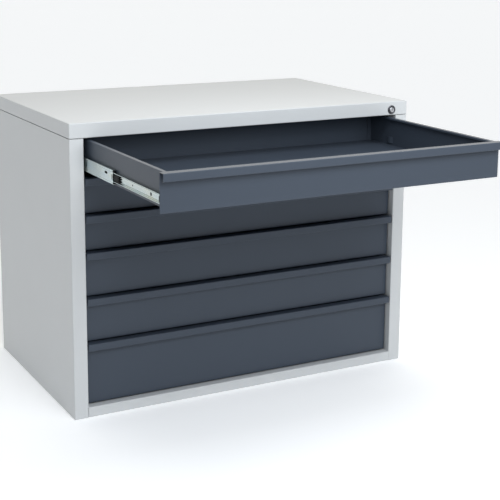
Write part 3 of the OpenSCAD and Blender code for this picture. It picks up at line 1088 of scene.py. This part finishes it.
@dataclass
class Slides:
    """Both slides of a drawer, with their plastic parts.

    Attributes:
        drawer: The drawer that they carry.
        strip: The thickness of the rails.
        stage_gap: The gap between neighbouring stages of a slide.
        play: The gap between a buffer and the rail that holds it.
        edge: The width of the rails' broken edges.
        curl: The height of the raised edges of the middle and inner rails.
        slope: The height of the step beside a raised edge.
        outer_bend: The inner radius of the plain rails' bends.
        bead_bend: The inner radius of the beaded rails' bends.
        middle_bead: The depth of the middle rails' bead.
        inner_bead: The depth of the inner rails' bead.
        inner_trim: How much shorter than their stage the inner rails' legs are.
        punch_reach: How far a hole's cutter reaches to both sides of a plain web.
        bead_reach: How far it reaches to the tray's side and away from it in the middle rails.
        screw_hole: The radius of the holes for the fixing screws.
        slot: Half the length and half the height of the middle rails' slot.
        slot_corner: The radius of its corners.
        slot_place: Its distance behind the rail's front end, and its lift.
        window: Half the length and half the height of the notch near the rail's front end.
        window_corner: The radius of its corners.
        window_place: Its distance behind the rail's front end.
        mouth: The radius of the hollow in the middle rails' front ends.
        mouth_depth: The depth of that hollow.
        access_place: The distance of the inner rails' first hole behind their front ends.
        access_step: The distance between their holes.
        access_holes: The radii of the holes, from the front.
        strike_thick: The thickness of the strikes.
        strike_foot: The length of a strike's foot on the tray.
        strike_lift: How far the strikes stay above the outer rails.
        strike_gap: The gap between a closed strike and its catch.
        buffer_shade_front: How far the black blocks, partly buffer and partly painted shade, stand
            out of the middle rails.
        buffer_shade_back: How far they reach into them.
        buffer_shade_gap: The gap between a block and the inner rail.
        lever_place: The distance of the levers behind the tray's front wall.
        lever_thick: The thickness of the levers and of the rubber stops' foot.
        prong_pitch: The distance between a lever's prongs.
        plastic_seat: The gap between a lever and the inner rail's bead.
        stop_place: The distance of the rubber stops behind the rails' front ends.
        stop_half: Half the length and half the height of a rubber stop.
        stop_corner: The radius of its corners.
        stop_crown: The height of its crown, and how much narrower the crown is.
    """

    drawer: Drawer
    strip: float = 1.2
    stage_gap: float = 0.6
    play: float = 0.1
    edge: float = 0.2
    curl: float = 4.6
    slope: float = 0.7
    outer_bend: float = 1.1
    bead_bend: float = 0.6
    middle_bead: float = 1.2
    inner_bead: float = 1.0
    inner_trim: float = 0.7
    punch_reach: float = 3.0
    bead_reach: Spot = (4.0, 2.0)
    screw_hole: float = 2.7
    slot: Spot = (9.0, 3.0)
    slot_corner: float = 2.99
    slot_place: Spot = (46.0, 5.0)
    window: Spot = (1.5, 7.0)
    window_corner: float = 1.45
    window_place: float = 8.5
    mouth: float = 17.0
    mouth_depth: float = 4.0
    access_place: float = 62.0
    access_step: float = 108.0
    access_holes: tuple[float, ...] = (4.5, 2.2, 2.2, 2.2)
    strike_thick: float = 2.0
    strike_foot: float = 14.0
    strike_lift: float = 3.0
    strike_gap: float = 1.0
    buffer_shade_front: float = 4.5
    buffer_shade_back: float = 4.0
    buffer_shade_gap: float = 0.5
    lever_place: float = 243.6
    lever_thick: float = 3.8
    prong_pitch: float = 6.1
    plastic_seat: float = 0.15
    stop_place: float = 4.2
    stop_half: Spot = (3.6, 7.5)
    stop_corner: float = 1.6
    stop_crown: Spot = (0.8, 0.86)

    def __post_init__(self) -> None:
        """Reads the slides' places from the frame."""
        self.outer_low, self.outer_high = self.drawer.box("outer_rails")
        self.middle_low, self.middle_high = self.drawer.box("middle_rails")
        self.inner_low, self.inner_high = self.drawer.box("inner_rails")
        self.tray_x = self.drawer.tray_high.x
        self.mid = (self.outer_low.z + self.outer_high.z) / 2
        self.middle_half = (self.middle_high.z - self.middle_low.z) / 2
        self.inner_half = self.mid - self.inner_low.z
        self.moving, self.stage = f"drawer_{self.drawer.number}", f"middle_{self.drawer.number}"

    def build(self) -> None:
        """Builds the slides."""
        self.build_outer()
        self.build_middle()
        self.build_inner()
        self.build_buffers_and_painted_shade()
        self.build_levers()
        self.build_stops()

    def channel(self, web: float, tip: float, half: float, bead: float = 0.0) -> Sides:
        """Outline of a rail, as a bent sheet.

        Args:
            web: Where the rail's web is, in x.
            tip: Where its legs end.
            half: Half its height.
            bead: The depth of the bead along its web.

        Returns:
            The two sides of the sheet, in (x, z).
        """
        side, mid = (1 if tip > web else -1), self.mid
        path = [(tip, mid - half), (web, mid - half)]
        if bead:
            inner, edge = web + side * bead, half - self.curl
            path += [
                (web, mid - edge), (inner, mid - edge + self.slope),
                (inner, mid + edge - self.slope), (web, mid + edge),
            ]
        path += [(web, mid + half), (tip, mid + half)]
        return bent(path, -side * self.strip, self.bead_bend if bead else self.outer_bend)

    def punch(
        self, ends: Spot, y: float, outline: Iterable[Spot], lift: float = 0.0
    ) -> list[list[Point]]:
        """Rings of a cutter through the right web.

        Args:
            ends: Where the cutter starts and ends, in x.
            y: The hole's place.
            outline: The hole's outline, in (y, z).
            lift: Its height above the rail's middle.

        Returns:
            The rings.
        """
        spots, height = list(outline), self.mid + lift
        return [[(end, y + a, height + b) for a, b in spots] for end in ends]

    def rails(self, outline: Sides, low: Vector, high: Vector) -> Draft:
        """Draws a rail's outline out over its length, on both sides.

        Args:
            outline: The rail's outline.
            low: The lowest corner of the rails' box.
            high: Its highest corner.

        Returns:
            The rails.
        """
        return Draft().sheet(outline, Run.ALONG_Y, low.y, high.y).mirrored()

    def build_outer(self) -> None:
        """Outer rails: plain channels, screwed to the uprights."""
        web, tip = self.outer_high.x, self.tray_x + self.strip + self.stage_gap / 2
        outline = self.channel(web, tip, (self.outer_high.z - self.outer_low.z) / 2)
        holes, ends = Draft(), (web - self.punch_reach, web + self.punch_reach)
        for upright in ("right_front_upright", "right_rear_upright"):
            near, far = box_mm(upright)
            holes.loft(self.punch(ends, (near.y + far.y) / 2, disc(self.screw_hole)))
        draft, cutter = self.rails(outline, self.outer_low, self.outer_high), holes.mirrored()
        self.drawer.fit(
            draft, "outer_slides", ZINC, "cabinet", "zinc_plate", "outer_rails", self.edge, cutter
        )

    def build_middle(self) -> None:
        """Middle rails: beaded channels with a slot, a notch and a hollow front end."""
        web, front = self.middle_high.x, self.middle_low.y
        tip = self.tray_x + self.strip + self.stage_gap / 4
        outline = self.channel(web, tip, self.middle_half, self.middle_bead)
        slot = rounded(*self.slot, self.slot_corner)
        window = rounded(*self.window, self.window_corner)
        holes, ends = Draft(), (web - self.bead_reach[0], web + self.bead_reach[1])
        holes.loft(self.punch(ends, front + self.slot_place[0], slot, self.slot_place[1]))
        holes.loft(self.punch(ends, front + self.window_place, window))
        holes.loft(self.punch(ends, front + self.mouth_depth - self.mouth, disc(self.mouth)))
        draft, cutter = self.rails(outline, self.middle_low, self.middle_high), holes.mirrored()
        self.drawer.fit(
            draft, "middle_slides", ZINC, self.stage, "zinc_plate", "middle_rails", self.edge,
            cutter,
        )

    def build_inner(self) -> None:
        """Inner rails on the tray, with their holes, and the strikes for the lock's catches."""
        tip = self.middle_high.x - self.strip - self.stage_gap - self.inner_trim
        outline = self.channel(self.tray_x, tip, self.inner_half, self.inner_bead)
        draft = self.rails(outline, self.inner_low, self.inner_high)
        y = self.inner_low.y + self.strike_set_back()
        path = [(self.tray_x, y + self.strike_foot), (self.tray_x, y), (self.inner_high.x, y)]
        strike = bent(path, self.strike_thick, self.strike_thick / 2)
        draft.sheet(strike, Run.ALONG_Z, self.outer_high.z + self.strike_lift, self.inner_high.z)
        holes, ends = Draft(), (self.tray_x - self.punch_reach, self.tray_x + self.punch_reach)
        for k, radius in enumerate(self.access_holes):
            y = self.inner_low.y + self.access_place + self.access_step * k
            holes.loft(self.punch(ends, y, disc(radius)))
        cutter = holes.mirrored()
        self.drawer.fit(
            draft, "inner_slides", ZINC, self.moving, "zinc_plate", "inner_rails", self.edge, cutter
        )

    def strike_set_back(self) -> float:
        """The strikes' distance behind the inner rails' front ends, from the catches' place."""
        closed_front = box_mm("drawer_2_inner_rails")[0].y
        return box_mm("lock_catches")[1].y + self.strike_gap - closed_front

    def build_buffers_and_painted_shade(self) -> None:
        """Black blocks above and below the inner rail, at the middle rail's open end: partly
        plastic buffer, partly painted shade in the gaps that the balls run in.
        """
        front, tip = self.middle_low.y, self.tray_x + self.strip + self.stage_gap
        back_x = self.middle_high.x - self.strip - self.play
        near = self.inner_half + self.buffer_shade_gap
        far = self.middle_half - self.strip - self.play
        # Black blocks in the gaps that the balls run in: partly plastic buffer, partly painted
        # shade of those gaps.
        draft = Draft()
        for side in (-1, 1):
            low_z, high_z = sorted((self.mid + side * near, self.mid + side * far))
            draft.block(
                (tip, front - self.buffer_shade_front, low_z), (back_x, front + self.buffer_shade_back, high_z)
            )
        self.drawer.fit(
            draft.mirrored(), "buffers_and_painted_shade", BLACK_PLASTIC, self.stage, "zinc_plate", edge=0.4
        )

    def plastic_x(self) -> float:
        """Where the plastic parts sit on the inner rails, in x."""
        return self.tray_x + self.strip + self.inner_bead + self.plastic_seat

    def build_levers(self) -> None:
        """Release levers: three prongs on a tapering tongue."""
        outline: list[Spot] = []
        for k in (-1, 0, 1):
            outline += [(y, z + self.prong_pitch * k) for y, z in PRONG]
        outline += [*LEVER_HALF, LEVER_TIP, *((y, -z) for y, z in reversed(LEVER_HALF))]
        start, base = self.drawer.tray_low.y + self.lever_place, self.plastic_x()
        ends = (base, base + self.lever_thick)
        draft = Draft().loft([[(x, start + y, self.mid + z) for y, z in outline] for x in ends])
        self.drawer.fit(
            draft.mirrored(), "levers", BLACK_PLASTIC, self.moving, "zinc_plate", edge=0.3
        )

    def build_stops(self) -> None:
        """Rubber stops at the inner rails' front ends."""
        middle, base = self.inner_low.y + self.stop_place, self.plastic_x()
        ring, top = rounded(*self.stop_half, self.stop_corner), base + self.lever_thick
        crown, narrower = self.stop_crown
        draft = Draft().loft([
            [(x, middle + y * grow, self.mid + z * grow) for y, z in ring]
            for x, grow in ((base, 1.0), (top, 1.0), (top + crown, narrower))
        ])
        self.drawer.fit(
            draft.mirrored(), "rubber_stops", RUBBER, self.moving, "zinc_plate", edge=0.3
        )


@dataclass
class Lock:
    """The cam lock in the lid's skirt and the bar that it drives.

    Attributes:
        rosette: The thickness of the rosette.
        rosette_round: How far its rear edge is rounded.
        crown: The curve of its rim: insets from the rim, and depths behind the face.
        throat: The curve round the plug: distances from the bore, and depths.
        barrel: The radius of the barrel.
        chamfer: The chamfer of its rear end.
        wall: The wall round the plug.
        plug_gap: The gap round the plug.
        dome: The curve of the plug's face: insets from its rim, and depths.
        slot_width: The width of the key's slot.
        slot_height: Its height.
        slot_depth: Its depth.
        slot_start: How far in front of the face its cutter starts.
    """

    rosette: float = 3.0
    rosette_round: Spot = (0.2, 0.4)
    crown: tuple[Spot, ...] = ((0.15, 1.3), (0.8, 0.5), (1.9, 0.08), (3.0, 0.0))
    throat: tuple[Spot, ...] = ((1.6, 0.25), (0.7, 0.9), (0.0, 1.2))
    barrel: float = 9.5
    chamfer: float = 0.6
    wall: float = 2.5
    plug_gap: float = 0.05
    dome: tuple[Spot, ...] = ((1.5, 0.0), (0.7, 0.12), (0.0, 0.7))
    slot_width: float = 1.6
    slot_height: float = 8.5
    slot_depth: float = 12.0
    slot_start: float = 2.0

    def __post_init__(self) -> None:
        """Reads the lock's axis from the frame."""
        low, high = box_mm("lock_housing")
        self.x, self.z = (low.x + high.x) / 2, (low.z + high.z) / 2

    def build(self) -> None:
        """Builds and dresses the lock."""
        self.build_rosette()
        self.build_cylinder()
        for node in ("lock_nut", "lock_cam"):
            dress(node, CHROME)
        for node in ("lock_bar", "lock_catches", "bar_guides"):
            dress(node, ZINC)

    def build_rosette(self) -> None:
        """Rosette and barrel, turned from one piece, in chrome darkened as painted shade for the
        gap round the plug.
        """
        low, high = box_mm("lock_housing")
        rim, face, lid_face = (high.x - low.x) / 2, low.y, low.y + self.rosette
        bore = self.barrel - self.wall + self.plug_gap
        step, rise = self.rosette_round
        profile = [
            (bore, high.y), (self.barrel - self.chamfer, high.y),
            (self.barrel, high.y - self.chamfer), (self.barrel, lid_face),
            (rim - step, lid_face), (rim, lid_face - rise),
            *((rim - inset, face + depth) for inset, depth in self.crown),
            *((bore + beyond, face + depth) for beyond, depth in self.throat),
        ]
        draft = Draft().loft(turned(self.x, self.z, profile), Ends.JOINED)
        nodes = ["lock_housing"]
        # The rosette's dark chrome is painted shade for the gap round the plug.
        fit(draft, "lock_rosette", SHADE_DARKENED_CHROME, "cabinet", nodes, edge=0.1)

    def build_cylinder(self) -> None:
        """Turning cylinder with the key's slot."""
        low, high = box_mm("lock_plug")
        radius = (high.x - low.x) / 2
        profile = [(radius - inset, low.y + depth) for inset, depth in self.dome]
        half_x, half_z = self.slot_width / 2, self.slot_height / 2
        slot = Draft().block(
            (self.x - half_x, low.y - self.slot_start, self.z - half_z),
            (self.x + half_x, low.y + self.slot_depth, self.z + half_z),
        )
        draft = Draft().loft(turned(self.x, self.z, [*profile, (radius, high.y)]))
        nodes = ["lock_plug"]
        fit(draft, "lock_cylinder", CHROME, "lock_core", nodes, 0.12, slot)


@dataclass(frozen=True)
class Softbox:
    """A rectangular lamp.

    Attributes:
        name: Its name.
        power: Its power, in watts.
        size: Its width and height.
        place: Where it hangs.
        way: The way that it shines.
    """

    name: str
    power: float
    size: Spot
    place: Point
    way: Point


@dataclass
class Studio:
    """Pale floor, soft light and the camera.

    Attributes:
        eye: The camera's place.
        azimuth: Its direction round the object, in degrees.
        elevation: Its height above the horizon, in degrees.
        roll: Its turn about its own axis, in degrees.
        lens: Its focal length, in millimetres.
        sensor: The width of its film, in millimetres.
        clip: The nearest and the farthest that it sees, in metres.
        shift: Its vertical shift.
        room_front: The room's light in front of the cabinet.
        room_rear: Its light behind the cabinet.
        room_bright_way: The way to the room's brightest part.
        overhead: The strength of the overhead light.
        light_colour: The colour of the lamps.
        overhead_spread: How wide it is, in degrees, which softens its shadows.
        overhead_place: Where it hangs, which doesn't change its light.
        overhead_way: The way that it shines.
        softboxes: The lamps near the cabinet.
        floor_half: Half the floor's side, in millimetres.
        floor_thick: Its thickness.
        floor_drop: How far it lies below the cabinet, so that their faces don't meet.
        floor_grain: The size of its grain.
        floor_tones: The grain's darker and lighter colour.
        floor_roughness: The floor's least roughness, and how much the grain adds.
        floor_glow: The light of the floor itself, as of a sweep that is lit from below.
    """

    eye: Point = (-1.5337, -3.1662, 1.2616)
    azimuth: float = -28.354
    elevation: float = 10.969
    roll: float = 0.415
    lens: float = 85.362
    sensor: float = 36.0
    clip: Spot = (0.05, 200.0)
    shift: float = -0.16
    room_front: Colour = (0.21, 0.235, 0.265)
    room_rear: Colour = (1.27, 1.23, 1.15)
    room_bright_way: Point = (0.35, 0.93, 0.05)
    overhead: float = 1.1
    light_colour: Colour = (0.93, 0.965, 1.0)
    overhead_spread: float = 38.0
    overhead_place: Point = (0.0, 0.0, 3.0)
    overhead_way: Point = (0.08, 1.05, -1.0)
    softboxes: tuple[Softbox, ...] = (
        Softbox("front_softbox", 8.0, (1.5, 0.5), (0.1, -1.5, 1.18), (-0.05, 1.0, -0.5)),
        Softbox("drawer_softbox", 8.5, (1.5, 0.6), (0.0, -0.85, 1.7), (0.0, 0.15, -1.0)),
    )
    floor_half: float = 60000.0
    floor_thick: float = 40.0
    floor_drop: float = 0.5
    floor_grain: float = 3.0
    floor_tones: tuple[Colour, Colour] = ((0.96, 0.96, 0.96), (0.99, 0.99, 0.99))
    floor_roughness: Spot = (0.85, 0.05)
    floor_glow: float = 0.24

    def build(self) -> None:
        """Builds the studio."""
        self.build_camera()
        self.build_floor()
        self.build_light()

    def build_camera(self) -> None:
        """Places the camera."""
        data = bpy.data.cameras.new("camera")
        data.sensor_width, data.lens, data.shift_y = self.sensor, self.lens, self.shift
        data.clip_start, data.clip_end = self.clip
        camera = bpy.data.objects.new("camera", data)
        bpy.context.scene.collection.objects.link(camera)
        turn, lift = math.radians(self.azimuth), math.radians(self.elevation)
        forward = Vector((
            -math.sin(turn) * math.cos(lift), math.cos(turn) * math.cos(lift), -math.sin(lift),
        ))
        camera.location = self.eye
        camera.rotation_mode = "QUATERNION"
        camera.rotation_quaternion = forward.to_track_quat("-Z", "Y") @ Quaternion(
            (0, 0, 1), math.radians(self.roll)
        )
        bpy.context.scene.camera = camera

    def build_floor(self) -> None:
        """A large pale floor with a fine, even grain."""
        shader = Shader("pale_floor", metallic=0.0)
        shader.surface.inputs["Emission Color"].default_value = (1.0, 1.0, 1.0, 1.0)
        shader.surface.inputs["Emission Strength"].default_value = self.floor_glow
        grain = shader.noise(self.floor_grain, 2.0)
        least, spread = self.floor_roughness
        shader.wear({
            "Base Color": shader.tint(*self.floor_tones, grain),
            "Roughness": least + grain * spread,
        })
        half = self.floor_half
        draft = Draft().block((-half, -half, -self.floor_thick), (half, half, -self.floor_drop))
        floor = bpy.data.objects.new("floor", draft.mesh("floor"))
        bpy.context.scene.collection.objects.link(floor)
        floor.data.materials.append(shader.material)

    def build_light(self) -> None:
        """A soft overhead light in a room whose rear wall is the brightest."""
        world = bpy.data.worlds.new("white_room")
        bpy.context.scene.world = world
        world.use_nodes = True
        room = Nodes(world.node_tree)
        way = room.node("ShaderNodeTexCoord", {}, {}, "Generated")
        settings = {"operation": "DOT_PRODUCT"}
        sockets = {0: way, 1: self.room_bright_way}
        towards = room.node("ShaderNodeVectorMath", settings, sockets, "Value")
        settings = {"interpolation_type": "SMOOTHSTEP"}
        rear = room.node("ShaderNodeMapRange", settings, {"Value": towards})
        tone = room.tint(self.room_front, self.room_rear, rear)
        light = room.node("ShaderNodeBackground", {}, {"Color": tone})
        white = room.node("ShaderNodeBackground", {}, {"Color": (1.0, 1.0, 1.0, 1.0)})
        seen = room.node("ShaderNodeLightPath", {}, {}, "Is Camera Ray")
        either = room.node("ShaderNodeMixShader", {}, {0: seen, 1: light, 2: white})
        room.link(either, room.tree.nodes["World Output"].inputs["Surface"])
        data = bpy.data.lights.new("overhead", "SUN")
        data.energy, data.color = self.overhead, self.light_colour
        data.angle = math.radians(self.overhead_spread)
        self.hang(data, self.overhead_place, self.overhead_way)
        for box in self.softboxes:
            data = bpy.data.lights.new(box.name, "AREA")
            data.energy, data.color, data.shape = box.power, self.light_colour, "RECTANGLE"
            data.size, data.size_y = box.size
            self.hang(data, box.place, box.way)
        bpy.context.scene.view_settings.view_transform = "Standard"
        bpy.context.scene.view_settings.look = "None"

    def hang(self, data: bpy.types.Light, place: Point, way: Point) -> None:
        """Hangs a lamp that the camera doesn't see.

        Args:
            data: The lamp.
            place: Where it hangs.
            way: The way that it shines.
        """
        lamp = bpy.data.objects.new(data.name, data)
        bpy.context.scene.collection.objects.link(lamp)
        lamp.visible_camera = False
        lamp.location = place
        lamp.rotation_mode = "QUATERNION"
        lamp.rotation_quaternion = Vector(way).to_track_quat("-Z", "Y")


def main() -> None:
    """Builds the studio and every part of the cabinet."""
    logging.basicConfig(level=logging.INFO, format="%(name)s: %(message)s")
    Studio().build()
    Carcass().build()
    for number in range(1, DRAWERS + 1):
        Drawer(number).build()
    Lock().build()


if __name__ == "__main__":
    main()
